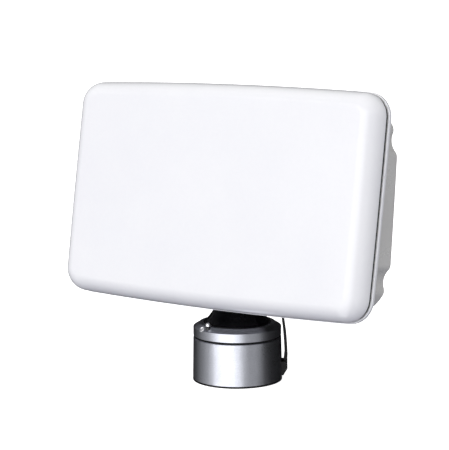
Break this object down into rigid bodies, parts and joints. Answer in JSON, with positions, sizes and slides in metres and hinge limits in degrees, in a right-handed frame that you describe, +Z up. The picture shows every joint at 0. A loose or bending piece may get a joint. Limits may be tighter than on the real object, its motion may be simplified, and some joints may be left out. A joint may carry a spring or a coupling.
{
  "type": "marine instrument pod",
  "caption": "White sealed instrument pod with a blank face, tilting on a black neck over a swivelling round aluminium deck pedestal with a clamp lever.",
  "frame": {"origin": "centre of the pedestal's foot, on the swivel axis, at the deck surface", "axes": "+Z up along the swivel axis; the pod's blank face looks towards -Y; +X along the pod's width, to the right of someone who looks at the face"},
  "size_m": [0.3494, 0.1105, 0.2966],
  "materials": {
    "white_gloss": "high gloss gelcoat-like white, UV stable ASA",
    "white_satin": "semi-gloss moulded white, fine spark texture",
    "grey_rubber": "closed-cell silicone, matt",
    "black_rubber": "matt, moulded",
    "anodised_aluminium": "bead blasted and silver-grey anodised, satin",
    "raw_aluminium": "turned, clear anodised",
    "black_gloss_coat": "gloss black coat over a casting",
    "black_powder_coat": "semi-gloss black powder coat",
    "black_nylon": "moulded glass-filled nylon",
    "black_acetal": "turned acetal",
    "acetal": "turned natural acetal",
    "stainless": "A4 stainless, machined",
    "bright_steel": "polished stainless",
    "brass": "knurled, machined"
  },
  "bodies": {
    "base": {"foot_gasket": "black_rubber", "deck_plate": "raw_aluminium", "base_housing": "anodised_aluminium", "housing_screws": "stainless", "swivel_bush": "acetal", "bearing_ring": "black_acetal", "rain_seal": "black_rubber", "lever_bracket": "black_powder_coat", "bracket_screws": "stainless", "lever_pin": "stainless", "plunger_bush": "brass"},
    "lever": {"clamp_lever": "black_powder_coat"},
    "brake": {"thrust_plunger": "stainless", "brake_shoe": "acetal"},
    "turret": {"spindle": "stainless", "thrust_washer": "acetal", "retaining_nut": "stainless", "collar_ring": "anodised_aluminium", "lock_screw": "bright_steel", "neck": "black_gloss_coat", "neck_screws": "stainless", "cable_grommet": "black_rubber", "button_spring": "stainless"},
    "button": {"detent_button": "bright_steel"},
    "pod": {"front_shell": "white_gloss", "case_gasket": "grey_rubber", "rear_shell": "white_satin", "case_screws": "stainless", "case_inserts": "brass", "pod_bracket": "black_powder_coat", "bracket_bolts": "stainless", "tilt_bolt": "stainless", "tilt_nut": "stainless", "friction_washers": "acetal", "backing_plate": "stainless", "cable_gland": "black_nylon", "gland_nut": "black_nylon", "gland_seal": "black_rubber", "breather_vent": "black_nylon"}
  },
  "joints": [
    {"name": "pedestal_swivel", "type": "hinge", "parent": "base", "child": "turret", "pos_m": [0, 0, 0.045], "axis": [0, 0, 1], "range_deg": [-170, 170]},
    {"name": "pod_tilt", "type": "hinge", "parent": "turret", "child": "pod", "pos_m": [0, 0.02085, 0.08932], "axis": [1, 0, 0], "range_deg": [-25, 6]},
    {"name": "lever_throw", "type": "hinge", "parent": "base", "child": "lever", "pos_m": [0.03955, 0.02648, 0.012], "axis": [-0.5563, 0.831, 0], "range_deg": [0, 90]},
    {"name": "brake_travel", "type": "slide", "parent": "base", "child": "brake", "axis": [0.831, 0.5563, 0], "range_m": [0, 0.00101]},
    {"name": "button_press", "type": "slide", "parent": "turret", "child": "button", "axis": [0, 0, -1], "range_m": [0, 0.0018], "stiffness_N_per_m": 400, "springref_m": -0.0015, "deforming": ["button_spring"]}
  ],
  "couplings": [
    {"joint": "brake_travel", "follows": "lever_throw", "m_per_rad": 0.00064}
  ]
}
